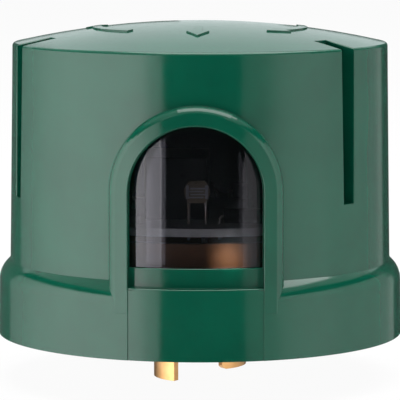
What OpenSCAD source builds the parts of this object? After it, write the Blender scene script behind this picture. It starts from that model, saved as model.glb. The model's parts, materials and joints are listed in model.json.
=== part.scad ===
// Twist-lock photocell switch for an outdoor luminaire.
// The gasket seats on z = 0, the axis is +Z and the window faces -Y.
// Angles round the axis are counted from the window, towards +X.

/* [Cover] */
// Outside diameter of the body at the height of the window's ledge
body_d = 77.8; // [71:0.2:86]
// How far the skirt's lower edge stands out from the body
skirt_step = 2.4; // [2.1:0.1:2.7]
// How far the skirt hangs below the seat
skirt_drop = 0.8; // [0.4:0.1:1.2]
// Height of the skirt wall up to the shoulder
skirt_h = 10.9; // [10.4:0.1:12]
// Rounding of the shoulder on top of the skirt
shoulder_r = 5.2; // [4.4:0.1:5.6]
// Thickness of the skirt wall
skirt_wall = 2.4; // [2.1:0.1:2.7]
// Height of the body's upper corner above the lower edge
body_h = 59.2; // [57:0.2:64]
// Rise of the domed top above that corner
dome_rise = 4.3; // [3:0.1:6]
// Rounding of the corner between wall and dome
rim_r = 1.5; // [0.8:0.1:2]
// Thickness of the body wall and the dome
wall = 2.2; // [2:0.1:2.5]
// Draft of the outside walls in degrees
draft = 0.9; // [0.3:0.1:1.2]

/* [Window] */
// Clear width of the window
window_w = 26.3; // [24:0.1:28]
// Height of the window's crown above the lower edge
crown_h = 45.4; // [43:0.2:47]
// Height of the sill above the lower edge
sill_h = 17.8; // [16.8:0.1:19]
// Height of the ledge under the sill above the lower edge
ledge_h = 14; // [13.4:0.1:14.8]
// Width of the raised frame
frame_w = 3.75; // [2.8:0.05:4.6]
// How far the frame's face stands out from the skirt's
frame_step = 0.04; // [0.03:0.01:0.06]
// Rounding of the frame's outer edge
frame_r = 1.8; // [1.2:0.1:2]
// Rounding of the frame's inner edge, the sill and the ledge
reveal_r = 0.4; // [0.3:0.05:0.6]
// Width of the lip round the opening behind the frame
window_lip = 0.3; // [0.2:0.05:0.5]
// Set-back of the panel between ledge and lower edge
panel_step = 0.15; // [0.1:0.05:0.3]

/* [Window lens] */
// Thickness of the lens behind the wall
lens_t = 1.6; // [1.2:0.1:1.8]
// How far the lens flange reaches behind the wall
lens_flange = 2; // [1.2:0.1:2.6]
// Set-back of the lens face from the body's outside
lens_set_back = 0.4; // [0.2:0.1:0.8]
// Rounding of the lens face along the arch
lens_r = 0.8; // [0.5:0.1:1]
// Play between lens and window
lens_play = 0.12; // [0.05:0.01:0.2]

/* [Grip slots] */
// Number of slots
slot_count = 3; // [3]
// Angle of the first slot from the window
slot_turn = 50.5; // [46:0.5:56]
// Width of a slot at the rim
slot_rim_w = 3.8; // [3:0.1:4.6]
// Width of a slot at its foot
slot_foot_w = 3; // [2.4:0.1:3.4]
// Radial depth of a slot at the rim
slot_depth = 7; // [5:0.1:7.5]
// Height of a slot's foot above the lower edge
slot_foot_h = 28.8; // [28:0.2:36]
// Thickness of the pocket walls round a slot
slot_wall = 1.8; // [1.4:0.1:2]
// Rounding of the slot edges
slot_r = 0.5; // [0.3:0.05:0.8]

/* [Base] */
// Thickness of the floor
floor_t = 2.5; // [2:0.1:3]
// Height of the cover's inside stop above the lower edge
stop_h = 10.8; // [10:0.1:11.4]
// Play between the base and the skirt
base_play = 0.3; // [0.2:0.05:0.4]
// Thickness of the rim that meets the stop
base_rim_w = 1.5; // [1.2:0.1:1.8]
// Play between the inner collar and the window lens
collar_play = 0.8; // [0.5:0.1:1.2]
// Thickness of the collar
collar_w = 1.6; // [1.2:0.1:2]
// Gap between the collar and the circuit board
collar_gap = 1.2; // [0.9:0.1:1.6]
// Width of the ribs between the collar and the rim
rib_w = 1.6; // [1.2:0.1:2.2]
// Number of ribs
rib_count = 12; // [6:1:18]
// Radius of the snap beads under the base
bead_r = 0.6; // [0.5:0.05:0.7]
// Angle covered by one snap bead
bead_arc = 18; // [10:1:30]
// Number of snap beads
bead_count = 6; // [4:1:8]

/* [Gasket] */
// Distance of the gasket's edge from the edge of the base
gasket_margin = 2.6; // [1.6:0.1:4]
// Diameter of the hole in the gasket
gasket_hole_d = 40; // [38:0.5:50]
// Thickness of the gasket
gasket_t = 4.5; // [4:0.1:5]

/* [Blades] */
// Radius of the blades' outer face
blade_r = 9.5; // [9:0.1:10.5]
// Thickness of a blade
blade_t = 1.5; // [1.2:0.1:1.8]
// Angle covered by a blade
blade_arc = 58; // [50:1:66]
// Angle covered by the neck behind the hook
neck_arc = 38; // [30:1:44]
// Angle of the neutral blade from the window
blade_turn = -61.5; // [-66:0.5:-58]
// Reach of the neutral blade below the seat
neutral_reach = 10.3; // [9:0.1:12]
// Reach of the line and load blades below the seat
live_reach = 7.8; // [7:0.1:9]
// Height of the hook at a blade's tip
hook_h = 4.5; // [3.5:0.1:5.5]
// Rounding of the hook's leading corner
hook_r = 1.5; // [0.8:0.1:2]
// Width of the foot inside the base
foot_w = 7; // [6:0.1:8]
// Play of the blades and rivets in the floor
blade_play = 0.1; // [0.05:0.01:0.2]
// Radius at which the rivets hold the feet
rivet_at = 14.5; // [14:0.1:15]
// Diameter of a rivet's shank
rivet_d = 3; // [2.4:0.1:3.4]
// Diameter of a rivet's heads
rivet_head_d = 5; // [4.4:0.1:5.6]
// Height of a rivet's heads
rivet_head_h = 0.9; // [0.6:0.1:1.2]
// Radius at which the connecting wires stand
wire_at = 19.5; // [19:0.1:20]
// Diameter of a connecting wire
wire_d = 1.3; // [1:0.1:1.6]

/* [Circuit board] */
// Distance of the board's edge from the outside of the collar
board_inset = 1.2; // [0.8:0.1:2]
// Thickness of the board
board_t = 1.6; // [1.2:0.1:2]
// Height of the board's top above the lower edge
board_h = 24.8; // [24.2:0.1:25.2]
// Distance of the posts from the board's edge
post_inset = 6; // [5:0.1:6.5]
// Diameter of a post
post_d = 6.5; // [5.6:0.1:7]
// Diameter of a board screw
screw_d = 2.6; // [2.2:0.1:3]
// Length of a board screw under its head
screw_l = 9; // [7:0.5:12]
// Diameter of a screw's head
screw_head_d = 5; // [4.4:0.1:5.4]
// Height of a screw's head
screw_head_h = 1.6; // [1.2:0.1:2]
// Play of the screws in the board and the posts
screw_play = 0.1; // [0.05:0.01:0.2]
// Diameter of a component lead
lead_d = 0.65; // [0.5:0.05:0.8]
// Play of the leads in the board
lead_play = 0.15; // [0.1:0.01:0.2]
// Reach of the leads below the board
lead_tail = 1.5; // [1:0.1:1.8]
// Bend radius of the leads
bend_r = 0.8; // [0.7:0.05:1]
// Radius of a solder joint on the board
solder_r = 1; // [0.9:0.05:1.2]
// Height of a solder joint
solder_h = 0.9; // [0.6:0.05:1]

/* [Photocell] */
// Width of the photocell
cell_w = 5.1; // [4.6:0.1:5.6]
// Height of the photocell between its flats
cell_flat = 4.3; // [3.8:0.1:4.6]
// Thickness of the photocell
cell_t = 2; // [1.6:0.1:2.4]
// Distance of the photocell's face from the board's edge
cell_inset = 5; // [4:0.1:6]
// Drop of the photocell's centre below the arch centre
cell_drop = 0.8; // [0:0.1:2]
// Spacing of the photocell's leads
cell_pitch = 3.4; // [3:0.1:3.6]

/* [Relay] */
// Width of the relay
relay_w = 12.7; // [12:0.1:13]
// Length of the relay
relay_l = 20; // [18:0.1:20.4]
// Height of the relay
relay_h = 12.4; // [10:0.1:16]
// Rounding of the relay's upright edges
relay_r = 0.6; // [0.3:0.1:1]
// Diameter of a relay pin
pin_d = 1; // [0.8:0.1:1.2]

/* [Other components] */
// Width of the dropper capacitor
dropper_w = 8.5; // [7:0.1:9]
// Length of the dropper capacitor
dropper_l = 18; // [16:0.1:18.4]
// Height of the dropper capacitor
dropper_h = 14; // [10:0.1:16]
// Diameter of the filter capacitor
filter_d = 10; // [8:0.1:10.4]
// Height of the filter capacitor
filter_h = 13; // [10:0.1:16]
// Diameter of the surge varistor
varistor_d = 14; // [12:0.1:14.6]
// Thickness of the surge varistor
varistor_t = 4.6; // [4:0.1:5]
// Standing height of the varistor above the board
varistor_lift = 1; // [0.6:0.1:2]
// Diameter of the rectifier diode
diode_d = 3; // [2.6:0.1:3.4]
// Length of the rectifier diode
diode_l = 7.6; // [7:0.1:8]
// Diameter of a resistor
resistor_d = 3.2; // [2.6:0.1:3.6]
// Length of a resistor
resistor_l = 9; // [8:0.1:9.4]
// Diameter of the zener diode
zener_d = 1.9; // [1.7:0.1:2.2]
// Length of the zener diode
zener_l = 4; // [3.6:0.1:4.4]
// Width of the transistor
transistor_w = 4.8; // [4.4:0.1:5.2]
// Height of the transistor
transistor_h = 4.8; // [4.4:0.1:5.2]
// Standing height of the transistor above the board
transistor_lift = 2; // [1.2:0.1:3]

/* [Hidden] */
$fn = 96;
dome_fn = 720;
over = 1;
overrun = 0.06;
arch_steps = 44;
round_steps = 9;
jamb_steps = 5;

cover_green = [0.10, 0.33, 0.26];
lens_grey = [0.30, 0.31, 0.33];
base_brown = [0.33, 0.17, 0.09];
gasket_black = [0.05, 0.05, 0.05];
brass = [0.78, 0.58, 0.30];
laminate = [0.72, 0.70, 0.58];
tin = [0.75, 0.76, 0.77];
zinc = [0.66, 0.67, 0.68];
cell_cream = [0.80, 0.66, 0.48];
relay_black = [0.07, 0.07, 0.08];
dropper_grey = [0.25, 0.27, 0.31];
sleeve_blue = [0.10, 0.12, 0.25];
varistor_blue = [0.10, 0.22, 0.45];
diode_black = [0.09, 0.09, 0.10];
resistor_grey = [0.45, 0.50, 0.52];
zener_red = [0.55, 0.20, 0.10];

// Heights
edge_z = -skirt_drop;
skirt_z = edge_z + skirt_h;
rim_z = edge_z + body_h;
sill_z = edge_z + sill_h;
ledge_z = edge_z + ledge_h;
crown_z = edge_z + crown_h;
slot_z = edge_z + slot_foot_h;
stop_z = edge_z + stop_h;
board_top = edge_z + board_h;
board_z = board_top - board_t;
floor_z = gasket_t + floor_t;
foot_z = floor_z + blade_t;
tail_z = board_z - lead_tail;

// Skirt, shoulder, body and dome
skirt_d = body_d + 2 * skirt_step;
shoulder_c = [face_r(skirt_z) - shoulder_r * cos(draft), skirt_z - shoulder_r * sin(draft)];
dome_r = (pow(wall_r(rim_z), 2) + pow(dome_rise, 2)) / (2 * dome_rise);
dome_z = rim_z + dome_rise - dome_r;
skirt_in_r = skirt_d / 2 - skirt_wall;
front_y = skirt_d / 2 + over;

// Window
window_half = window_w / 2;
open_half = window_half - window_lip;
frame_half = window_half + frame_w;
arch_z = crown_z - window_half;

// Slots
slot_in_r = wall_r(rim_z) - slot_depth;
slot_top_z = rim_z + dome_rise + over;
slot_taper = atan((slot_rim_w - slot_foot_w) / 2 / (rim_z - slot_z));
slot_angles = [for (i = [0 : slot_count - 1]) slot_turn + i * 360 / slot_count];

// Base
base_r = skirt_in_r - base_play;
gasket_r = base_r - gasket_margin;
collar_z = board_z - collar_gap;
collar_r = inner_r(collar_z) - lens_t - collar_play;
board_r = collar_r - board_inset;
post_at = board_r - post_inset;
root_z = floor_z - floor_t / 2;
post_angles = [90, 210, 330];
bead_z = gasket_t - bead_r;

// Blades
neutral_angle = blade_turn;
load_angle = blade_turn + 120;
line_angle = blade_turn + 240;
blade_angles = [neutral_angle, load_angle, line_angle];
slit_arc = blade_arc + 2 * asin(blade_play / blade_r);

// Places of the wires and components on the board
wire_spots = [for (a = blade_angles) wire_at * [sin(a), -cos(a)]];
cell_z = arch_z - cell_drop;
cell_at = board_r - cell_inset;
cell_y = -cell_at + cell_t + bend_r;
cell_spots = [[-cell_pitch / 2, cell_y], [cell_pitch / 2, cell_y]];
relay_side = 2;
relay_at = [relay_side - relay_w / 2, -7.5];
pin_shares = [[-0.36, -0.4], [0.36, -0.4], [-0.36, 0.2], [0.36, 0.2], [0, 0.4]];
pin_spots = [for (p = pin_shares) relay_at + [p.x * relay_w, p.y * relay_l]];
dropper_at = [14, 6];
dropper_inset = 1.4;
dropper_spots = [for (s = [-1, 1]) dropper_at + [0, s * (dropper_l / 2 - dropper_inset)]];
filter_at = [-18.5, 4];
filter_spots = [for (s = [-1, 1]) filter_at + [0, s * filter_d / 4]];
varistor_at = [-13, 14];
varistor_spots = [for (s = [-1, 1]) varistor_at + [s * varistor_d / 4, 0]];
diode_inset = 9;
diode_at = [9, diode_inset - board_r];
diode_spots = axial_ends(diode_at, diode_l, 0);
resistor_sides = [11, -2];
resistor_inset = 12.5;
resistor_gap = 1.231;
resistor_spots = [
    [resistor_sides[0], board_r - resistor_inset],
    [resistor_sides[1], wire_spots[2].y + (wire_d + resistor_d) / 2 + resistor_gap]
];
resistor_lead_spots = [for (p = resistor_spots) each axial_ends(p, resistor_l, 0)];
zener_at = [22.5, 7];
zener_spots = axial_ends(zener_at, zener_l, 90);
transistor_inset = 16;
transistor_at = [-18, transistor_inset - board_r];
transistor_spots = [for (i = [-1 : 1]) transistor_at + [i * transistor_w / 4, 0]];
lead_spots = concat(
    cell_spots, dropper_spots, filter_spots, varistor_spots, diode_spots,
    resistor_lead_spots, zener_spots, transistor_spots
);

// Outside radius of the skirt and of the window frame that continues it
function face_r(z) = skirt_d / 2 - (z - edge_z) * tan(draft);

// Outside radius of the body wall
function wall_r(z) = body_d / 2 - (z - ledge_z) * tan(draft);

// Inside radius of the body wall
function inner_r(z) = wall_r(z) - wall / cos(draft);

// Width of a slot
function slot_w(z) = slot_foot_w + 2 * (z - slot_z) * tan(slot_taper);

// Height of the domed top
function dome_top(r) = dome_z + sqrt(pow(dome_r, 2) - pow(r, 2));

// Centre of the rounding between wall and dome
function rim_centre() =
    let (
        s = sin(draft),
        c = cos(draft),
        k = wall_r(0) * c - rim_r,
        q = dome_r - rim_r,
        b = k * s + c * c * dome_z,
        z = b + sqrt(b * b - k * k - c * c * (dome_z * dome_z - q * q))
    )
    [(k - z * s) / c, z];

// Both lead places of an axial component that lies at angle a
function axial_ends(p, l, a) =
    [for (s = [-1, 1]) p + s * (l / 2 + bend_r) * [cos(a), sin(a)]];

// Stations [x, z, nx, nz] over an arch, n pointing into it
function arch_stations(half, low_z) =
    let (jamb = [for (i = [0 : jamb_steps - 1]) low_z + (arch_z - low_z) * i / jamb_steps])
    concat(
        [for (z = jamb) [-half, z, 1, 0]],
        [
            for (i = [0 : arch_steps])
                let (a = 180 - 180 * i / arch_steps)
                [half * cos(a), arch_z + half * sin(a), -cos(a), -sin(a)]
        ],
        [for (i = [jamb_steps - 1 : -1 : 0]) [half, jamb[i], -1, 0]]
    );

// Section [u, h] of the waste outside a rounded edge
function waste_section(r) =
    let (c = r - overrun)
    concat(
        [for (i = [0 : round_steps]) let (t = 90 * i / round_steps) [c - r * cos(t), r * sin(t) - c]],
        [[c, over], [-over, over], [-over, -c]]
    );

// Point on a station, u along its normal and h above the frame's face
function station_point(s, u, h) =
    let (x = s[0] + u * s[2], z = s[1] + u * s[3])
    [x, -sqrt(pow(face_r(z) + h, 2) - x * x), z];

// Puts +X at angle a from the window
module turned(a) {
    rotate([0, 0, a - 90])
        children();
}

// Arch-shaped block that reaches out through the front wall
module arch_block(half, low_z) {
    translate([0, -body_d / 4, 0])
        rotate([90, 0, 0])
            linear_extrude(front_y - body_d / 4) {
                translate([-half, low_z])
                    square([2 * half, arch_z - low_z]);
                translate([0, arch_z])
                    circle(half);
            }
}

// Waste along an arch on a face that lies level above the frame's: side 1 for its outer edge, -1 for its inner
module arch_waste(half, low_z, r, side, level = 0) {
    stations = arch_stations(half, low_z);
    section = waste_section(r);
    n = len(section);
    m = len(stations);
    points = [for (s = stations) for (q = section) station_point(s, side * q[0], q[1] + level)];
    sides = [
        for (i = [0 : m - 2])
            for (j = [0 : n - 1])
                let (k = (j + 1) % n)
                each [
                    [i * n + j, i * n + k, (i + 1) * n + k],
                    [i * n + j, (i + 1) * n + k, (i + 1) * n + j]
                ]
    ];
    caps = [[for (j = [n - 1 : -1 : 0]) j], [for (j = [0 : n - 1]) (m - 1) * n + j]];
    faces = [for (f = concat(sides, caps)) side < 0 ? [for (j = [len(f) - 1 : -1 : 0]) f[j]] : f];
    polyhedron(points, faces);
}

// Waste outside a rounded corner, the corner at the origin and the part at -x, -y
module corner_waste(r) {
    translate([overrun - r, overrun - r])
        difference() {
            square(r + over);
            circle(r);
        }
}

// Half section of wall, rounded rim and dome
module body_section() {
    c = rim_centre();
    up = c - [0, dome_z];
    top = c + rim_r * up / norm(up);
    polygon([
        [0, 0],
        [wall_r(0), 0],
        c + rim_r * [cos(draft), sin(draft)],
        c,
        top,
        [0, top.y]
    ]);
    translate(c)
        circle(rim_r);
    intersection() {
        translate([0, dome_z])
            circle(dome_r, $fn = dome_fn);
        translate([0, c.y])
            square([top.x, dome_r]);
    }
}

// Half section of the room inside wall and dome
module room_section() {
    intersection() {
        polygon([
            [0, stop_z],
            [inner_r(stop_z), stop_z],
            [inner_r(slot_top_z), slot_top_z],
            [0, slot_top_z]
        ]);
        translate([0, dome_z])
            circle(dome_r - wall, $fn = dome_fn);
    }
}

// Ring between two drafted walls, from low_z to high_z
module drafted_ring(in_low, out_low, in_high, out_high, low_z, high_z) {
    rotate_extrude()
        polygon([[in_low, low_z], [out_low, low_z], [out_high, high_z], [in_high, high_z]]);
}

// Skirt and shoulder, open where the window recess runs through the shoulder
module skirt_block() {
    difference() {
        rotate_extrude() {
            polygon([
                [0, edge_z],
                [face_r(edge_z), edge_z],
                [face_r(skirt_z), skirt_z],
                shoulder_c,
                [0, shoulder_c.y]
            ]);
            translate(shoulder_c)
                circle(shoulder_r);
        }
        arch_block(window_half + frame_w / 2, (skirt_z + ledge_z) / 2);
    }
}

module cover_block() {
    skirt_block();
    rotate_extrude()
        body_section();
}

// Walls round the slots inside the cover, as far as they reach into the cavity
module slot_pockets() {
    low_z = slot_z - slot_wall;
    in_r = slot_in_r - slot_wall;
    for (a = slot_angles)
        turned(a)
            translate([in_r, 0, 0])
                rotate([90, 0, 90])
                    linear_extrude(skirt_d / 2 - in_r)
                        polygon([
                            for (p = [[-1, low_z], [1, low_z], [1, slot_top_z], [-1, slot_top_z]])
                                [p[0] * (slot_w(p[1]) / 2 + slot_wall), p[1]]
                        ]);
}

// Beads on the skirt that the base snaps over
module snap_beads() {
    for (i = [0 : bead_count - 1])
        turned((i + 0.5) * 360 / bead_count)
            rotate([0, 0, -bead_arc / 2])
                rotate_extrude(angle = bead_arc)
                    translate([skirt_in_r, bead_z])
                        circle(bead_r);
}

module cover_cavity() {
    difference() {
        rotate_extrude() {
            translate([0, edge_z - over])
                square([skirt_in_r, stop_z - edge_z + over]);
            room_section();
        }
        slot_pockets();
        snap_beads();
    }
}

// One slot with its rounded edges, open to +X and upwards
module slot_cut() {
    rim_slope = atan((dome_top(slot_in_r) - rim_z) / slot_depth);
    translate([slot_in_r, 0, 0])
        rotate([90, 0, 90])
            linear_extrude(skirt_d / 2 - slot_in_r)
                polygon([
                    for (p = [[-1, slot_z], [1, slot_z], [1, slot_top_z], [-1, slot_top_z]])
                        [p[0] * slot_w(p[1]) / 2, p[1]]
                ]);
    for (s = [0, 1])
        mirror([0, s, 0]) {
            translate([wall_r(slot_z), -slot_foot_w / 2, slot_z])
                rotate([slot_taper, -draft, 0])
                    linear_extrude(slot_top_z - slot_z)
                        corner_waste(slot_r);
            translate([slot_in_r, -slot_w(rim_z) / 2, dome_top(slot_in_r)])
                rotate([0, rim_slope, 0])
                    rotate([90, 0, 90])
                        linear_extrude(slot_depth)
                            corner_waste(slot_r);
        }
}

// Raised arch round the window recess, both edges rounded
module window_boss() {
    foot_r = skirt_d / 2 - skirt_wall / 2;
    low_z = skirt_z - frame_r;
    top_z = arch_z + frame_half + over;
    difference() {
        intersection() {
            arch_block(frame_half, low_z);
            rotate_extrude()
                polygon([
                    [foot_r, low_z],
                    [face_r(low_z) + frame_step, low_z],
                    [face_r(top_z) + frame_step, top_z],
                    [wall_r(top_z) - wall / 2, top_z],
                    [wall_r(skirt_z) - wall / 2, skirt_z],
                    [foot_r, skirt_z]
                ]);
        }
        arch_block(window_half, ledge_z);
        arch_waste(frame_half, low_z - over, frame_r, 1, frame_step);
        intersection() {
            arch_waste(window_half, skirt_z, reveal_r, -1, frame_step);
            translate([-frame_half, -front_y, ledge_z - reveal_r])
                cube([2 * frame_half, front_y, top_z - ledge_z]);
        }
    }
}

// Rounded sill and ledge and the set-back panel, within the window's width
module panel_waste() {
    intersection() {
        arch_block(window_half, edge_z - over);
        rotate_extrude() {
            translate([face_r(ledge_z) - panel_step, ledge_z])
                corner_waste(reveal_r);
            polygon([
                [face_r(edge_z - over) - panel_step, edge_z - over],
                [face_r(edge_z - over) + over, edge_z - over],
                [face_r(ledge_z) + over, ledge_z],
                [face_r(ledge_z) - panel_step, ledge_z]
            ]);
        }
    }
    intersection() {
        arch_block(open_half, ledge_z);
        rotate_extrude()
            translate([wall_r(sill_z), sill_z])
                corner_waste(reveal_r);
    }
}

module cover() {
    color(cover_green)
        difference() {
            union() {
                difference() {
                    cover_block();
                    cover_cavity();
                    for (a = slot_angles)
                        turned(a)
                            slot_cut();
                }
                window_boss();
            }
            arch_block(open_half, sill_z);
            panel_waste();
        }
}

module window_lens() {
    low_z = sill_z - lens_flange;
    top_z = crown_z + lens_flange + over;
    color(lens_grey) {
        difference() {
            intersection() {
                arch_block(open_half - lens_play, sill_z + lens_play);
                drafted_ring(
                    inner_r(low_z) - lens_t, wall_r(low_z) - lens_set_back,
                    inner_r(top_z) - lens_t, wall_r(top_z) - lens_set_back, low_z, top_z
                );
            }
            arch_waste(open_half - lens_play, low_z, lens_r, 1, wall_r(0) - face_r(0) - lens_set_back);
        }
        intersection() {
            arch_block(open_half + lens_flange, low_z);
            drafted_ring(
                inner_r(low_z) - lens_t, inner_r(low_z),
                inner_r(top_z) - lens_t, inner_r(top_z), low_z, top_z
            );
        }
    }
}

// Upright ring that stands in the base floor
module base_ring(out_r, w, top_z) {
    translate([0, 0, root_z])
        difference() {
            cylinder(r = out_r, h = top_z - root_z);
            translate([0, 0, -over])
                cylinder(r = out_r - w, h = top_z - root_z + 2 * over);
        }
}

module base_ribs() {
    rib_in = collar_r - collar_w / 2;
    for (i = [0 : rib_count - 1])
        turned((i + 0.5) * 360 / rib_count)
            translate([rib_in, -rib_w / 2, root_z])
                cube([base_r - base_rim_w / 2 - rib_in, rib_w, (stop_z - root_z) / 2]);
}

module base() {
    color(base_brown)
        difference() {
            union() {
                translate([0, 0, gasket_t])
                    cylinder(r = base_r, h = floor_t);
                base_ring(base_r, base_rim_w, stop_z);
                base_ring(collar_r, collar_w, collar_z);
                base_ribs();
                for (a = post_angles)
                    turned(a)
                        translate([post_at, 0, root_z])
                            cylinder(d = post_d, h = board_z - root_z);
            }
            for (a = post_angles)
                turned(a)
                    translate([post_at, 0, board_top - screw_l - over])
                        cylinder(d = screw_d + 2 * screw_play, h = screw_l + 2 * over);
            for (a = blade_angles)
                turned(a) {
                    blade_arch(slit_arc / 2, blade_play, gasket_t - over, foot_z);
                    translate([rivet_at, 0, gasket_t - over])
                        cylinder(d = rivet_d + 2 * blade_play, h = floor_t + 2 * over);
                }
        }
}

module gasket() {
    color(gasket_black)
        difference() {
            cylinder(r = gasket_r, h = gasket_t);
            translate([0, 0, -over])
                cylinder(d = gasket_hole_d, h = gasket_t + 2 * over);
        }
}

// Curved plate of a blade over half_arc on each side of +X
module blade_arch(half_arc, play, low_z, high_z) {
    rotate([0, 0, -half_arc])
        rotate_extrude(angle = 2 * half_arc)
            translate([blade_r - blade_t - play, low_z])
                square([blade_t + 2 * play, high_z - low_z]);
}

// One blade with its hook and its riveted foot
module blade(reach) {
    lead = -blade_arc / 2;
    corner = asin((hook_r - overrun) / blade_r);
    notch_arc = blade_arc - neck_arc;
    difference() {
        union() {
            blade_arch(blade_arc / 2, 0, -reach, foot_z);
            translate([0, 0, floor_z])
                linear_extrude(blade_t)
                    difference() {
                        union() {
                            translate([0, -foot_w / 2])
                                square([wire_at, foot_w]);
                            translate([wire_at, 0])
                                circle(d = foot_w);
                        }
                        circle(blade_r - blade_t / 2);
                    }
        }
        rotate([0, 0, lead - notch_arc])
            rotate_extrude(angle = 2 * notch_arc)
                translate([blade_r - blade_t - over, hook_h - reach])
                    square([blade_t + 2 * over, reach - hook_h]);
        rotate([0, 0, lead + corner])
            difference() {
                rotate([0, 0, -2 * corner])
                    rotate_extrude(angle = 2 * corner)
                        translate([blade_r - blade_t - over, -reach - over])
                            square([blade_t + 2 * over, hook_r - overrun + over]);
                translate([0, 0, hook_r - overrun - reach])
                    rotate([0, 90, 0])
                        cylinder(r = hook_r, h = blade_r + 2 * over);
            }
        translate([rivet_at, 0, floor_z - over])
            cylinder(d = rivet_d + 2 * blade_play, h = blade_t + 2 * over);
    }
}

module neutral_blade() {
    color(brass)
        turned(neutral_angle)
            blade(neutral_reach);
}

module load_blade() {
    color(brass)
        turned(load_angle)
            blade(live_reach);
}

module line_blade() {
    color(brass)
        turned(line_angle)
            blade(live_reach);
}

module blade_rivets() {
    color(brass)
        for (a = blade_angles)
            turned(a)
                translate([rivet_at, 0, 0]) {
                    translate([0, 0, gasket_t - rivet_head_h])
                        cylinder(d = rivet_head_d, h = rivet_head_h);
                    translate([0, 0, gasket_t - rivet_head_h / 2])
                        cylinder(d = rivet_d, h = foot_z - gasket_t + rivet_head_h);
                    translate([0, 0, foot_z])
                        cylinder(d = rivet_head_d, h = rivet_head_h);
                }
}

module blade_wires() {
    color(tin)
        for (p = wire_spots)
            translate([p.x, p.y, foot_z])
                cylinder(d = wire_d, h = board_top + lead_tail - foot_z);
}

// Bore through the board
module board_bore(p, d) {
    translate([p.x, p.y, board_z - over])
        cylinder(d = d, h = board_t + 2 * over);
}

module circuit_board() {
    color(laminate)
        difference() {
            translate([0, 0, board_z])
                cylinder(r = board_r, h = board_t);
            for (a = post_angles)
                turned(a)
                    board_bore([post_at, 0], screw_d + 2 * screw_play);
            for (p = wire_spots)
                board_bore(p, wire_d + 2 * lead_play);
            for (p = lead_spots)
                board_bore(p, lead_d + 2 * lead_play);
            for (p = pin_spots)
                board_bore(p, pin_d + 2 * lead_play);
        }
}

module board_screws() {
    color(zinc)
        for (a = post_angles)
            turned(a)
                translate([post_at, 0, board_top]) {
                    cylinder(d = screw_head_d, h = screw_head_h);
                    translate([0, 0, -screw_l])
                        cylinder(d = screw_d, h = screw_l + screw_head_h / 2);
                }
}

// Solder cone under the board round a lead
module solder_cone(p, d) {
    translate([p.x, p.y, board_z - solder_h])
        difference() {
            cylinder(r1 = d / 2 + solder_r / 4, r2 = d / 2 + solder_r / 2, h = solder_h);
            translate([0, 0, -over])
                cylinder(d = d, h = solder_h + 2 * over);
        }
}

module solder_joints() {
    color(tin) {
        for (p = lead_spots)
            solder_cone(p, lead_d);
        for (p = pin_spots)
            solder_cone(p, pin_d);
        for (p = wire_spots)
            solder_cone(p, wire_d);
    }
}

// Straight lead from a component's underside down through the board
module straight_lead(p, d, from_z) {
    translate([p.x, p.y, tail_z])
        cylinder(d = d, h = from_z - tail_z);
}

// Quarter bend from +X at the origin to straight down
module lead_bend() {
    translate([0, 0, -bend_r])
        rotate([90, 0, 0])
            rotate_extrude(angle = 90)
                translate([bend_r, 0])
                    circle(d = lead_d);
}

// Body of an axial component that lies on the board at angle a
module axial_body(p, d, l, a) {
    translate([p.x, p.y, board_top + d / 2])
        rotate([0, 90, a])
            cylinder(d = d, h = l, center = true);
}

// Both leads of an axial component that lies on the board at angle a
module axial_leads(p, d, l, a) {
    translate([p.x, p.y, board_top + d / 2])
        for (s = [0, 180])
            rotate([0, 0, a + s])
                translate([l / 2, 0, 0])
                    lead_bend();
    for (q = axial_ends(p, l, a))
        straight_lead(q, lead_d, board_top + d / 2 - bend_r);
}

module photocell() {
    color(cell_cream)
        translate([0, cell_t - cell_at, cell_z])
            rotate([90, 0, 0])
                linear_extrude(cell_t)
                    intersection() {
                        circle(d = cell_w);
                        square([cell_w, cell_flat], center = true);
                    }
}

module photocell_leads() {
    color(tin)
        for (p = cell_spots) {
            translate([p.x, p.y - bend_r, cell_z])
                rotate([0, 0, 90])
                    lead_bend();
            straight_lead(p, lead_d, cell_z - bend_r);
        }
}

module relay() {
    color(relay_black)
        translate([relay_at.x, relay_at.y, board_top])
            linear_extrude(relay_h) {
                square([relay_w, relay_l - 2 * relay_r], center = true);
                square([relay_w - 2 * relay_r, relay_l], center = true);
                for (sx = [-1, 1])
                    for (sy = [-1, 1])
                        translate([sx * (relay_w / 2 - relay_r), sy * (relay_l / 2 - relay_r)])
                            circle(relay_r);
            }
}

module relay_pins() {
    color(tin)
        for (p = pin_spots)
            straight_lead(p, pin_d, board_top);
}

module dropper_capacitor() {
    color(dropper_grey)
        translate([dropper_at.x - dropper_w / 2, dropper_at.y - dropper_l / 2, board_top])
            cube([dropper_w, dropper_l, dropper_h]);
}

module dropper_leads() {
    color(tin)
        for (p = dropper_spots)
            straight_lead(p, lead_d, board_top);
}

module filter_capacitor() {
    groove_r = filter_h / 12;
    color(sleeve_blue)
        translate([filter_at.x, filter_at.y, board_top])
            rotate_extrude()
                difference() {
                    square([filter_d / 2, filter_h]);
                    translate([filter_d / 2 + groove_r / 2, 2 * groove_r])
                        circle(groove_r);
                }
}

module filter_leads() {
    color(tin)
        for (p = filter_spots)
            straight_lead(p, lead_d, board_top);
}

module surge_varistor() {
    color(varistor_blue)
        translate([varistor_at.x, varistor_at.y, board_top + varistor_lift + varistor_d / 2])
            rotate([90, 0, 0])
                rotate_extrude() {
                    translate([0, -varistor_t / 2])
                        square([(varistor_d - varistor_t) / 2, varistor_t]);
                    intersection() {
                        translate([(varistor_d - varistor_t) / 2, 0])
                            circle(d = varistor_t);
                        translate([0, -varistor_t])
                            square([varistor_d, 2 * varistor_t]);
                    }
                }
}

module varistor_leads() {
    color(tin)
        difference() {
            for (p = varistor_spots)
                straight_lead(p, lead_d, board_top + varistor_lift + varistor_d / 2);
            surge_varistor();
        }
}

module rectifier_diode() {
    color(diode_black)
        axial_body(diode_at, diode_d, diode_l, 0);
}

module diode_leads() {
    color(tin)
        axial_leads(diode_at, diode_d, diode_l, 0);
}

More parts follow.
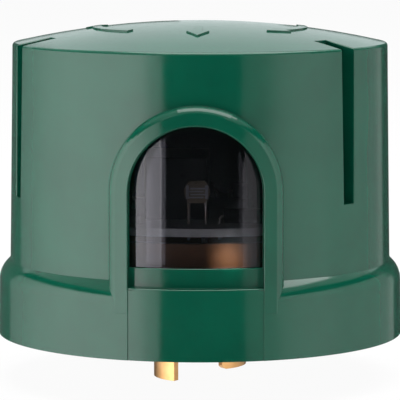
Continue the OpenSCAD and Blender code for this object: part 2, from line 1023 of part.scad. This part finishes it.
module resistors() {
    color(resistor_grey)
        for (p = resistor_spots)
            axial_body(p, resistor_d, resistor_l, 0);
}

module resistor_leads() {
    color(tin)
        for (p = resistor_spots)
            axial_leads(p, resistor_d, resistor_l, 0);
}

module zener_diode() {
    color(zener_red)
        axial_body(zener_at, zener_d, zener_l, 90);
}

module zener_leads() {
    color(tin)
        axial_leads(zener_at, zener_d, zener_l, 90);
}

module transistor() {
    color(diode_black)
        translate([transistor_at.x, transistor_at.y, board_top + transistor_lift])
            linear_extrude(transistor_h)
                intersection() {
                    circle(d = transistor_w);
                    translate([-transistor_w / 2, -transistor_w / 4])
                        square(transistor_w);
                }
}

module transistor_leads() {
    color(tin)
        for (p = transistor_spots)
            straight_lead(p, lead_d, board_top + transistor_lift);
}

cover();
window_lens();
base();
gasket();
neutral_blade();
load_blade();
line_blade();
blade_rivets();
blade_wires();
circuit_board();
board_screws();
solder_joints();
photocell();
photocell_leads();
relay();
relay_pins();
dropper_capacitor();
dropper_leads();
filter_capacitor();
filter_leads();
surge_varistor();
varistor_leads();
rectifier_diode();
diode_leads();
resistors();
resistor_leads();
zener_diode();
zener_leads();
transistor();
transistor_leads();
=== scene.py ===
"""Looks of the twist-lock photocell switch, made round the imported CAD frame."""
import json
import math

import bmesh
import bpy
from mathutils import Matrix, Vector


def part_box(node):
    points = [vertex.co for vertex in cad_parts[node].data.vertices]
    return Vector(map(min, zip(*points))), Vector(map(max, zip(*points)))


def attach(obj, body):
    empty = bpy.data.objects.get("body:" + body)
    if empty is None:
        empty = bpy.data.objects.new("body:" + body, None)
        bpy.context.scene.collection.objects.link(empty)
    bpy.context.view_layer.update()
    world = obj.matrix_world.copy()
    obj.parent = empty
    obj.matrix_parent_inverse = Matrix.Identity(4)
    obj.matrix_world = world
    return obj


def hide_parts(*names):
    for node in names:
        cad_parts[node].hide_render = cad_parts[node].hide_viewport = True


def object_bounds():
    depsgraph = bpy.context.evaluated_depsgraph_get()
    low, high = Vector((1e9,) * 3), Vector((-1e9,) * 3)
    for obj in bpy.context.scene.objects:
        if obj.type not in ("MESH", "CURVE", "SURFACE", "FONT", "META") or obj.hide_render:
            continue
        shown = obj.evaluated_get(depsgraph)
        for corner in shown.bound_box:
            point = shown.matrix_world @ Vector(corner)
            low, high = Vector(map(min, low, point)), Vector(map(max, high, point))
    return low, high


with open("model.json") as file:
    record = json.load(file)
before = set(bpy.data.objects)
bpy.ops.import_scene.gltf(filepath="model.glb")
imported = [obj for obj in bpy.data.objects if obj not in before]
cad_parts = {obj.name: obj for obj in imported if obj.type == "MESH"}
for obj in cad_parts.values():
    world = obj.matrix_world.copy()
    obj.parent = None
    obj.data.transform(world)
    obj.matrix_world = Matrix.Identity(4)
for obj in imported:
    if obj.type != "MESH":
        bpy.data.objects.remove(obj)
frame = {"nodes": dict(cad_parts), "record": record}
cad_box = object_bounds()
record = frame["record"]

MM = 0.001

# Camera: the photograph's lens, place and tilt
IMAGE_PIXELS = 400
SENSOR_MM = 36.0
FOCAL_PIXELS = 2828.9
CAMERA_DISTANCE = 577.1 * MM
CAMERA_HEIGHT = 90.7 * MM
CAMERA_TURN = math.radians(1.2)
CAMERA_TILT = math.radians(6.4)
CAMERA_NEAR = 10.0 * MM

# Dome of the cover, for what stands on it
cover_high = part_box("cover")[1]
DOME_TOP = cover_high.z
DOME_RADIUS = 171.74 * MM

# Rim of the cover, in (radius, height): its rounding in the solid and the crisper one of the moulding
RIM_CENTRE = Vector((36.709, 57.195)) * MM
RIM_ROUND = 1.5 * MM
RIM_CRISP = 0.7 * MM
RIM_NEAR = 0.02 * MM
WALL_DRAFT = math.radians(0.9)

# Raised signs on the dome
SIGN_HEIGHT = 0.3 * MM
SIGN_SINK = 0.15 * MM
SIGN_STROKE = 1.8 * MM
SIGN_RADIUS = 21.0 * MM
SIGN_HEAD = 4.6 * MM
SIGN_HEAD_HALF = 2.3 * MM
SIGN_BEVEL = SIGN_HEIGHT / 3
SIGN_BEVEL_ANGLE = math.radians(40)
SHAFT_STEPS = 12
HEAD_STEPS = 5
POINTER_FROM, POINTER_TO = 14.0 * MM, 25.0 * MM
ARROW_FROM, ARROW_TO = math.radians(102), math.radians(40)

# Combs on the photocell's face
COMB_REACH = 0.62
COMB_PROUD = 0.05 * MM
COMB_SUNK = 0.02 * MM
COMB_BAR = 0.3 * MM
COMB_GAP = 0.28 * MM

# Rounding of moulded and stamped edges that only the light shows
EDGE_ROUND = 0.08 * MM
BOX_EDGE_ROUND = 0.6 * MM
EDGE_SAMPLES = 6

# Lens: tint of each face, share of its dust and the index that sets its mirror
LENS_DARK = (0.63, 0.63, 0.67)
LENS_PALE = (0.69, 0.69, 0.72)
LENS_MIRROR = (0.95, 0.93, 1.0)
LENS_INDEX = 1.62
DUST_COLOUR = (0.24, 0.29, 0.31)
DUST_SHARE = 0.012

# Floor, its size in metres, and world
FLOOR_SIZE = 8.0
FLOOR_GREY = 0.82
FLOOR_ROUGHNESS = 0.9
FLOOR_WHITE_SHARE = 0.95
WORLD_LIGHT = 0.07
WORLD_WHITE = 1.0

# Stage round the object, in metres from its axis and seat
BOX_SIDE = 0.62
BOX_HEIGHT = 0.7
BOX_Z = -0.05
SCREEN_SIDE = 0.66
SCREEN_LOW, SCREEN_HIGH = -0.5, 0.55
BACK_DISTANCE = 0.9
BACK_LOW, BACK_MIDDLE, BACK_HIGH = -0.4, 0.12, 0.36

# Levels and colours of the cards
LEFT_SHADE = 0.11
RIGHT_SHADE = 0.06
WHITE = (1.0, 1.0, 1.0)
COOL = (0.91, 0.99, 1.0)

# Fall-off along the side boxes: (share of the width, share of the radiance)
LEFT_FADE = ((0.0, 0.1), (0.16, 0.33), (0.27, 0.66), (0.44, 1.0), (0.68, 0.97), (0.85, 0.57), (1.0, 0.5))
RIGHT_FADE = ((0.0, 0.32), (0.2, 0.45), (0.42, 1.0), (0.54, 0.75), (0.78, 0.34), (1.0, 0.25))

# Beam through the window, on the base behind its sill
BEAM_ANGLE = math.radians(1.0)
BEAM_SOFTNESS = 1.0
BEAM_SOURCE = 2.0 * MM
BEAM_POWER = 46.0
BEAM_PLACE = Vector((64.9, -367.5, 230.5)) * MM
BEAM_TARGET = Vector((6.2, -33.4, 18.3)) * MM


# Node materials

class Surface:
    """A material with one Principled shader and helpers for its textures, which are sized in metres."""

    def __init__(self, name):
        self.material = bpy.data.materials.new(name)
        self.material.use_nodes = True
        self.tree = self.material.node_tree
        self.shader = self.tree.nodes["Principled BSDF"]
        self.place = self.node("ShaderNodeTexCoord").outputs["Object"]

    def node(self, kind, **values):
        """New node with the values of its input sockets."""
        made = self.tree.nodes.new(kind)
        for key, value in values.items():
            made.inputs[key.replace("_", " ")].default_value = value
        return made

    def link(self, source, target):
        self.tree.links.new(source, target)

    def noise(self, per_metre, detail=3.0, stretch=None):
        """Noise with so many features in a metre, squeezed along each axis by its scale."""
        made = self.node("ShaderNodeTexNoise", Scale=per_metre, Detail=detail)
        place = self.place
        if stretch:
            mapping = self.node("ShaderNodeMapping", Scale=stretch)
            self.link(place, mapping.inputs["Vector"])
            place = mapping.outputs["Vector"]
        self.link(place, made.inputs["Vector"])
        return made.outputs["Fac"]

    def spots(self, per_metre):
        """Round cells, so many in a metre."""
        made = self.node("ShaderNodeTexVoronoi", Scale=per_metre)
        self.link(self.place, made.inputs["Vector"])
        return made.outputs["Distance"]

    def ramp(self, factor, first, last, low=0.35, high=0.65):
        """Colour that goes from first to last as the factor goes from low to high."""
        made = self.node("ShaderNodeValToRGB")
        ends = made.color_ramp.elements
        ends[0].position, ends[1].position = low, high
        ends[0].color, ends[1].color = (*first, 1), (*last, 1)
        self.link(factor, made.inputs["Fac"])
        return made.outputs["Color"]

    def span(self, factor, first, last, low=0.3, high=0.7):
        """Value that goes from first to last as the factor goes from low to high."""
        made = self.node("ShaderNodeMapRange", From_Min=low, From_Max=high, To_Min=first, To_Max=last)
        self.link(factor, made.inputs["Value"])
        return made.outputs["Result"]

    def colour(self, factor, first, last):
        self.link(self.ramp(factor, first, last), self.shader.inputs["Base Color"])

    def roughness(self, factor, first, last):
        self.link(self.span(factor, first, last), self.shader.inputs["Roughness"])

    def bump(self, factor, depth, edge=EDGE_ROUND):
        """Relief of a given depth over rounded edges."""
        rounded = self.node("ShaderNodeBevel", Radius=edge)
        rounded.samples = EDGE_SAMPLES
        made = self.node("ShaderNodeBump", Distance=depth)
        self.link(factor, made.inputs["Height"])
        self.link(rounded.outputs["Normal"], made.inputs["Normal"])
        self.link(made.outputs["Normal"], self.shader.inputs["Normal"])
        return made.outputs["Normal"]


def moulded(name, dark, pale, gloss, edge=EDGE_ROUND):
    """Moulded plastic: faint flow marks in the colour, uneven gloss and a fine grain."""
    surface = Surface(name)
    spread = 0.03
    surface.colour(surface.noise(per_metre=70.0), dark, pale)
    surface.roughness(surface.noise(per_metre=600.0), gloss - spread, gloss + spread)
    surface.bump(surface.noise(per_metre=2500.0), depth=0.004 * MM, edge=edge)
    return surface


def metal(name, dark, pale, gloss, stretch):
    """Drawn or rolled metal: fine lines along its grain and slight tarnish."""
    surface = Surface(name)
    surface.shader.inputs["Metallic"].default_value = 1.0
    spread = 0.06
    surface.colour(surface.noise(per_metre=300.0, detail=5.0), dark, pale)
    lines = surface.noise(per_metre=900.0, detail=4.0, stretch=stretch)
    surface.roughness(lines, gloss - spread, gloss + spread)
    surface.bump(lines, depth=0.004 * MM)
    return surface


def smoky_lens(name):
    """Clear smoky plastic: tinted, mirroring by its Fresnel share, with faint ripple and a film of dust."""
    surface = Surface(name)
    ripple = surface.bump(surface.noise(per_metre=120.0, detail=1.0), depth=0.006 * MM)

    clear = surface.node("ShaderNodeBsdfTransparent")
    tint = surface.ramp(surface.noise(per_metre=60.0), LENS_DARK, LENS_PALE, low=0.3, high=0.7)
    surface.link(tint, clear.inputs["Color"])

    gloss = surface.node("ShaderNodeBsdfGlossy", Color=(*LENS_MIRROR, 1))
    surface.link(surface.span(surface.noise(per_metre=500.0), 0.03, 0.06), gloss.inputs["Roughness"])
    surface.link(ripple, gloss.inputs["Normal"])

    fresnel = surface.node("ShaderNodeFresnel", IOR=LENS_INDEX)
    surface.link(ripple, fresnel.inputs["Normal"])
    mirror = surface.node("ShaderNodeMixShader")
    surface.link(fresnel.outputs["Fac"], mirror.inputs["Fac"])
    surface.link(clear.outputs["BSDF"], mirror.inputs[1])
    surface.link(gloss.outputs["BSDF"], mirror.inputs[2])

    dust = surface.node("ShaderNodeBsdfDiffuse", Color=(*DUST_COLOUR, 1))
    film = surface.node("ShaderNodeMixShader", Fac=DUST_SHARE)
    surface.link(mirror.outputs["Shader"], film.inputs[1])
    surface.link(dust.outputs["BSDF"], film.inputs[2])

    surface.link(film.outputs["Shader"], surface.tree.nodes["Material Output"].inputs["Surface"])
    surface.tree.nodes.remove(surface.shader)
    return surface


def rubber(name):
    """Cellular rubber: pores and a dull bloom."""
    surface = Surface(name)
    surface.colour(surface.noise(per_metre=500.0), (0.010, 0.010, 0.010), (0.022, 0.022, 0.021))
    surface.roughness(surface.noise(per_metre=300.0), 0.75, 0.9)
    surface.bump(surface.spots(per_metre=1500.0), depth=0.05 * MM)
    return surface


def laminate(name):
    """Board laminate: weave under a thin resin coat."""
    surface = Surface(name)
    threads = surface.noise(per_metre=700.0, stretch=(1.0, 6.0, 1.0))
    surface.colour(threads, (0.72, 0.71, 0.65), (0.84, 0.83, 0.77))
    surface.roughness(threads, 0.32, 0.42)
    surface.bump(threads, depth=0.01 * MM)
    return surface


MATERIALS = {
    "cover_green": moulded("cover_green", (0.0018, 0.070, 0.040), (0.0024, 0.082, 0.047), 0.13),
    "lens_smoke": smoky_lens("lens_smoke"),
    "base_brown": moulded("base_brown", (0.205, 0.076, 0.014), (0.275, 0.104, 0.021), 0.38),
    "gasket_black": rubber("gasket_black"),
    "blade_brass": metal("blade_brass", (0.70, 0.38, 0.145), (0.80, 0.46, 0.20), 0.34, (1, 1, 8)),
    "rivet_brass": metal("rivet_brass", (0.66, 0.42, 0.17), (0.80, 0.55, 0.25), 0.3, (1, 1, 1)),
    "tinned_copper": metal("tinned_copper", (0.54, 0.42, 0.34), (0.68, 0.64, 0.61), 0.3, (8, 8, 1)),
    "board_laminate": laminate("board_laminate"),
    "screw_zinc": metal("screw_zinc", (0.50, 0.51, 0.52), (0.66, 0.67, 0.68), 0.32, (4, 4, 1)),
    "solder_tin": metal("solder_tin", (0.55, 0.56, 0.57), (0.70, 0.71, 0.72), 0.22, (1, 1, 1)),
    "cell_ceramic": moulded("cell_ceramic", (0.20, 0.15, 0.09), (0.28, 0.21, 0.13), 0.3),
    "relay_black": moulded("relay_black", (0.012, 0.012, 0.013), (0.018, 0.018, 0.020), 0.3, BOX_EDGE_ROUND),
    "dropper_grey": moulded("dropper_grey", (0.020, 0.022, 0.028), (0.030, 0.033, 0.040), 0.3),
    "sleeve_blue": moulded("sleeve_blue", (0.006, 0.008, 0.024), (0.010, 0.013, 0.036), 0.22),
    "varistor_blue": moulded("varistor_blue", (0.008, 0.030, 0.12), (0.014, 0.044, 0.17), 0.28),
    "diode_black": moulded("diode_black", (0.009, 0.009, 0.010), (0.015, 0.015, 0.016), 0.42),
    "resistor_grey": moulded("resistor_grey", (0.10, 0.12, 0.13), (0.15, 0.17, 0.18), 0.4),
    "zener_glass": moulded("zener_glass", (0.22, 0.035, 0.012), (0.30, 0.055, 0.02), 0.1),
}

for part in record["subparts"]:
    for place in frame["nodes"][part["node"]].material_slots:
        place.material = MATERIALS[part["material_slot"]].material


# Objects and meshes

def linked(name, data):
    """Object of a mesh, lamp or camera, linked into the scene."""
    made = bpy.data.objects.new(name, data)
    bpy.context.scene.collection.objects.link(made)
    return made


def mesh_data(name, mesh, surface):
    """Mesh made from a bmesh, with its faces turned outwards and one material."""
    bmesh.ops.recalc_face_normals(mesh, faces=mesh.faces)
    data = bpy.data.meshes.new(name)
    mesh.to_mesh(data)
    mesh.free()
    data.materials.append(surface.material)
    return data


# Cover: the solid with a crisper rim

def crisp_rim(name, node):
    """Copy of the cover whose rim, between the same wall and dome, is rounded less."""
    wall_way = Vector((math.cos(WALL_DRAFT), math.sin(WALL_DRAFT)))
    dome_way = (RIM_CENTRE - Vector((0.0, DOME_TOP - DOME_RADIUS))).normalized()
    corner_way = (wall_way + dome_way) / (1 + wall_way.dot(dome_way))
    centre = RIM_CENTRE + corner_way * (RIM_ROUND - RIM_CRISP)
    least_x = dome_way.x * RIM_ROUND - RIM_NEAR
    least_y = wall_way.y * RIM_ROUND - RIM_NEAR
    data = frame["nodes"][node].data.copy()
    data.name = name
    for vert in data.vertices:
        radius = vert.co.xy.length
        arm = Vector((radius, vert.co.z)) - RIM_CENTRE
        if abs(arm.length - RIM_ROUND) < RIM_NEAR and arm.x > least_x and arm.y > least_y:
            place = centre + arm.normalized() * RIM_CRISP
            vert.co = (*(vert.co.xy * place.x / radius), place.y)
    piece = linked(name, data)
    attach(piece, "root")
    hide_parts(node)


crisp_rim("cover_crisp_rim", "cover")


# Raised signs on the dome: a pointer to the window and two arrows for the way it locks

def dome_point(radius, turn, lift):
    """Point on the dome at an angle counted from the window towards +X, lifted along Z."""
    drop = DOME_RADIUS - math.sqrt(DOME_RADIUS ** 2 - radius ** 2)
    return Vector((radius * math.sin(turn), -radius * math.cos(turn), DOME_TOP - drop + lift))


def raised_sign(name, rows):
    """Closed raised patch on the dome from rows of places (radius, turn) that widen or narrow by pairs."""
    mesh = bmesh.new()
    points = [[mesh.verts.new(dome_point(r, t, SIGN_HEIGHT)) for r, t in row] for row in rows]
    for row, following in zip(points, points[1:]):
        if len(following) == 1:
            for a, b in zip(row, row[1:]):
                mesh.faces.new((a, b, following[0]))
            continue
        inset = (len(following) - len(row)) // 2
        for i in range(len(row) - 1):
            mesh.faces.new((row[i], row[i + 1], following[inset + i + 1], following[inset + i]))
    sunk = bmesh.ops.extrude_face_region(mesh, geom=mesh.faces[:])["geom"]
    for vert in sunk:
        if isinstance(vert, bmesh.types.BMVert):
            vert.co.z -= SIGN_HEIGHT + SIGN_SINK
    piece = linked(name, mesh_data(name, mesh, MATERIALS["cover_green"]))
    bevel = piece.modifiers.new("edge", "BEVEL")
    bevel.width = SIGN_BEVEL
    bevel.segments = 2
    bevel.angle_limit = SIGN_BEVEL_ANGLE
    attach(piece, "root")


def arrow_rows(length, place):
    """Rows of an arrow along s = 0 to length, each place given by place(s, offset)."""
    half_stroke = SIGN_STROKE / 2
    neck = length - SIGN_HEAD
    rows = []
    for i in range(SHAFT_STEPS):
        rows.append([place(neck * i / SHAFT_STEPS, w) for w in (-half_stroke, half_stroke)])
    for i in range(HEAD_STEPS):
        share = 1 - i / HEAD_STEPS
        s = neck + SIGN_HEAD * (1 - share)
        wide = SIGN_HEAD_HALF * share
        inner = half_stroke * share
        rows.append([place(s, w) for w in (-wide, -inner, inner, wide)])
    rows.append([place(length, 0.0)])
    return rows


def arc_arrow(name, start, end):
    """Arrow that runs round the axis from one angle to the other."""
    way = math.copysign(1.0, end - start)
    length = abs(end - start) * SIGN_RADIUS

    def place(s, offset):
        return SIGN_RADIUS + offset, start + way * s / SIGN_RADIUS

    raised_sign(name, arrow_rows(length, place))


def pointer(name, start, end):
    """Arrow that points outwards to the window."""
    def place(s, offset):
        along = start + s
        return math.hypot(along, offset), math.atan2(offset, along)

    raised_sign(name, arrow_rows(end - start, place))


pointer("window_pointer", POINTER_FROM, POINTER_TO)
arc_arrow("lock_arrow_left", -ARROW_TO, -ARROW_FROM)
arc_arrow("lock_arrow_right", ARROW_FROM, ARROW_TO)


# Photocell: two combs of metal on its face, with the light-sensitive track between them

def electrode_combs(name, node):
    """Interlocking combs on the face of the cell that looks through the window."""
    low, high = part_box(node)
    centre = (low + high) / 2
    reach = COMB_REACH * (high - low) / 2
    front_y, back_y = low.y - COMB_PROUD, low.y + COMB_SUNK
    mesh = bmesh.new()

    def bar_block(x0, x1, z0, z1):
        corners = [mesh.verts.new((x, y, z)) for y in (front_y, back_y)
                   for x, z in ((x0, z0), (x1, z0), (x1, z1), (x0, z1))]
        front, back = corners[:4], corners[4:]
        mesh.faces.new(front)
        mesh.faces.new(back[::-1])
        for i in range(4):
            j = (i + 1) % 4
            mesh.faces.new((front[i], back[i], back[j], front[j]))

    left, right = centre.x - reach.x, centre.x + reach.x
    bottom, top = centre.z - reach.z, centre.z + reach.z
    bar_block(left - 2 * COMB_BAR, left, bottom, top)
    bar_block(right, right + 2 * COMB_BAR, bottom, top)
    pitch = COMB_BAR + COMB_GAP
    for i in range(int((top - bottom) / pitch)):
        z = bottom + COMB_GAP / 2 + i * pitch
        if i % 2:
            bar_block(left + COMB_GAP, right + COMB_BAR, z, z + COMB_BAR)
        else:
            bar_block(left - COMB_BAR, right - COMB_GAP, z, z + COMB_BAR)
    silver = moulded("electrode_silver", (0.36, 0.36, 0.38), (0.46, 0.46, 0.48), 0.4)
    piece = linked(name, mesh_data(name, mesh, silver))
    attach(piece, "root")


electrode_combs("photocell_electrodes", "photocell")


# Stage: lamps

def aimed(name, light, place, target):
    """Lamp that looks at its target and can't be seen by the camera."""
    made = linked(name, light)
    made.location = place
    made.rotation_euler = (Vector(target) - Vector(place)).to_track_quat("-Z", "Y").to_euler()
    made.visible_camera = False
    return made


def lamp(name, size, place, target, radiance, fade=(), mirrored=True):
    """Soft box of a given radiance, which may fade along its width and be left out of reflections."""
    light = bpy.data.lights.new(name, "AREA")
    light.shape = "RECTANGLE"
    light.size, light.size_y = size
    light.energy = radiance * math.pi * light.size * light.size_y
    if fade:
        light.use_nodes = True
        tree = light.node_tree
        across = tree.nodes.new("ShaderNodeSeparateXYZ")
        tree.links.new(tree.nodes.new("ShaderNodeNewGeometry").outputs["Parametric"], across.inputs["Vector"])
        curve = tree.nodes.new("ShaderNodeFloatCurve")
        points = curve.mapping.curves[0].points
        points[0].location, points[1].location = fade[0], fade[-1]
        for share in fade[1:-1]:
            points.new(*share)
        curve.mapping.update()
        tree.links.new(across.outputs["X"], curve.inputs["Value"])
        tree.links.new(curve.outputs["Value"], tree.nodes["Emission"].inputs["Strength"])
    aimed(name, light, place, target).visible_glossy = mirrored


def side_box(name, x, y, width, radiance, fade):
    """Upright soft box beside the object, which looks across it."""
    lamp(name, (width, BOX_HEIGHT), (x, y, BOX_Z), (0.0, y, BOX_Z), radiance, fade)


def beam(name, place, target, power):
    """Narrow soft-edged lamp."""
    light = bpy.data.lights.new(name, "SPOT")
    light.energy = power
    light.spot_size = BEAM_ANGLE
    light.spot_blend = BEAM_SOFTNESS
    light.shadow_soft_size = BEAM_SOURCE
    aimed(name, light, place, target)


# Stage: floor, cards and background

def sheet(name, corners, material):
    """Flat stage piece through its corners."""
    data = bpy.data.meshes.new(name)
    data.from_pydata([Vector(c) for c in corners], [], [tuple(range(len(corners)))])
    data.materials.append(material)
    made = linked(name, data)
    return made


def level_corners(half, z):
    """Corners of a level square."""
    return [(-half, -half, z), (half, -half, z), (half, half, z), (-half, half, z)]


def upright_corners(start, end, low, high):
    """Corners of an upright card from one place (x, y) to another, between two heights."""
    return [(*start, low), (*end, low), (*end, high), (*start, high)]


def polar(distance, degrees):
    """Place (x, y) round the object, the angle counted from the window towards +X."""
    turn = math.radians(degrees)
    return distance * math.sin(turn), -distance * math.cos(turn)


def background_share(tree):
    """1 for the rays that show the plain background: from the camera, mirrored or passed through."""
    path = tree.nodes.new("ShaderNodeLightPath")
    share = path.outputs["Is Camera Ray"]
    for ray in ("Is Glossy Ray", "Is Transmission Ray"):
        most = tree.nodes.new("ShaderNodeMath")
        most.operation = "MAXIMUM"
        tree.links.new(share, most.inputs[0])
        tree.links.new(path.outputs[ray], most.inputs[1])
        share = most.outputs["Value"]
    return share


def pale_floor(name):
    """Pale floor material that shows nearly white and keeps a soft shadow."""
    made = bpy.data.materials.new(name)
    made.use_nodes = True
    tree = made.node_tree
    shader = tree.nodes["Principled BSDF"]
    shader.inputs["Base Color"].default_value = (FLOOR_GREY, FLOOR_GREY, FLOOR_GREY, 1)
    shader.inputs["Roughness"].default_value = FLOOR_ROUGHNESS
    glow = tree.nodes.new("ShaderNodeEmission")
    mix = tree.nodes.new("ShaderNodeMixShader")
    part_white = tree.nodes.new("ShaderNodeMath")
    part_white.operation = "MULTIPLY"
    part_white.inputs[1].default_value = FLOOR_WHITE_SHARE
    tree.links.new(background_share(tree), part_white.inputs[0])
    tree.links.new(part_white.outputs["Value"], mix.inputs["Fac"])
    tree.links.new(shader.outputs["BSDF"], mix.inputs[1])
    tree.links.new(glow.outputs["Emission"], mix.inputs[2])
    tree.links.new(mix.outputs["Shader"], tree.nodes["Material Output"].inputs["Surface"])
    return made


def plain_glow(name, level, tint):
    """Even material of a given level and tint."""
    made = bpy.data.materials.new(name)
    made.use_nodes = True
    tree = made.node_tree
    tree.nodes.remove(tree.nodes["Principled BSDF"])
    glow = tree.nodes.new("ShaderNodeEmission")
    glow.inputs["Color"].default_value = (*tint, 1)
    glow.inputs["Strength"].default_value = level
    tree.links.new(glow.outputs["Emission"], tree.nodes["Material Output"].inputs["Surface"])
    return made


def card(name, corners, level, tint=WHITE):
    """White, grey or black card that lights nothing and shows in reflections only."""
    made = sheet(name, corners, plain_glow(name, level, tint))
    made.visible_camera = False
    made.visible_diffuse = False
    made.visible_shadow = False
    made.visible_transmission = False


def flag(name, distance, first, last, low, high, level):
    """Upright card from one angle round the object to another."""
    card(name, upright_corners(polar(distance, first), polar(distance, last), low, high), level)


def side_screen(name, x, first_y, last_y):
    """Black card behind a side box."""
    card(name, upright_corners((x, first_y), (x, last_y), SCREEN_LOW, SCREEN_HIGH), level=0.0)


def studio_world(name):
    """World that shows white and lights little."""
    world = bpy.data.worlds.new(name)
    world.use_nodes = True
    bpy.context.scene.world = world
    tree = world.node_tree
    dim = tree.nodes["Background"]
    white = tree.nodes.new("ShaderNodeBackground")
    for background, strength in ((dim, WORLD_LIGHT), (white, WORLD_WHITE)):
        background.inputs["Color"].default_value = (*WHITE, 1)
        background.inputs["Strength"].default_value = strength
    mix = tree.nodes.new("ShaderNodeMixShader")
    tree.links.new(background_share(tree), mix.inputs["Fac"])
    tree.links.new(dim.outputs["Background"], mix.inputs[1])
    tree.links.new(white.outputs["Background"], mix.inputs[2])
    tree.links.new(mix.outputs["Shader"], tree.nodes["World Output"].inputs["Surface"])


def photo_camera(name):
    """Camera with the photograph's lens, at its place."""
    data = bpy.data.cameras.new(name)
    data.sensor_width = SENSOR_MM
    data.lens = SENSOR_MM * FOCAL_PIXELS / IMAGE_PIXELS
    data.clip_start = CAMERA_NEAR
    camera = linked(name, data)
    camera.location = (
        CAMERA_DISTANCE * math.sin(CAMERA_TURN),
        -CAMERA_DISTANCE * math.cos(CAMERA_TURN),
        CAMERA_HEIGHT,
    )
    camera.rotation_euler = (math.pi / 2 - CAMERA_TILT, 0.0, CAMERA_TURN)
    bpy.context.scene.camera = camera


floor = sheet("floor", level_corners(FLOOR_SIZE / 2, cad_box[0].z), pale_floor("pale_floor"))
floor.visible_glossy = False

flag("front_flag", distance=0.95, first=-21, last=26.5, low=-0.45, high=0.5, level=0.0)
flag("back_flag_left", BACK_DISTANCE, first=-130, last=-178, low=BACK_LOW, high=BACK_MIDDLE, level=LEFT_SHADE)
flag("back_flag_right", BACK_DISTANCE, first=145, last=178, low=BACK_LOW, high=BACK_MIDDLE, level=RIGHT_SHADE)
flag("shoulder_flag_left", BACK_DISTANCE, first=-120, last=-170, low=BACK_MIDDLE,
     high=BACK_HIGH, level=LEFT_SHADE)
flag("shoulder_flag_right", BACK_DISTANCE, first=136, last=170, low=BACK_MIDDLE,
     high=BACK_HIGH, level=RIGHT_SHADE)
side_screen("left_screen", -SCREEN_SIDE, first_y=-1.6, last_y=0.7)
side_screen("right_screen", SCREEN_SIDE, first_y=-1.3, last_y=1.1)
card("back_screen", upright_corners((-2.0, 1.6), (2.0, 1.6), low=0.05, high=1.0), 0.86, COOL)
card("ceiling_flag", level_corners(half=2.2, z=1.4), level=0.6)

side_box("left_box", -BOX_SIDE, y=-0.45, width=2.2, radiance=3.1, fade=LEFT_FADE)
side_box("right_box", BOX_SIDE, y=-0.1, width=2.3, radiance=1.35, fade=RIGHT_FADE)
lamp("edge_strip", size=(0.13, 0.7), place=(*polar(0.8, 139), 0.1), target=(0.0, 0.0, 0.1), radiance=0.15)
lamp("top_strip", size=(1.1, 1.2), place=(0.2, -0.05, 1.0), target=(0.2, -0.049, 0.0), radiance=3.8)
lamp("left_fill", size=(0.5, 0.5), place=(-0.6, 0.1, 0.05), target=(0.0, 0.1, 0.05),
     radiance=2.6, mirrored=False)
lamp("top_fill", size=(0.6, 0.6), place=(0.0, 0.0, 0.9), target=(0.0, 0.001, 0.0),
     radiance=3.0, mirrored=False)
beam("window_beam", BEAM_PLACE, BEAM_TARGET, BEAM_POWER)

studio_world("studio")
photo_camera("camera")
bpy.context.scene.view_settings.view_transform = "Standard"
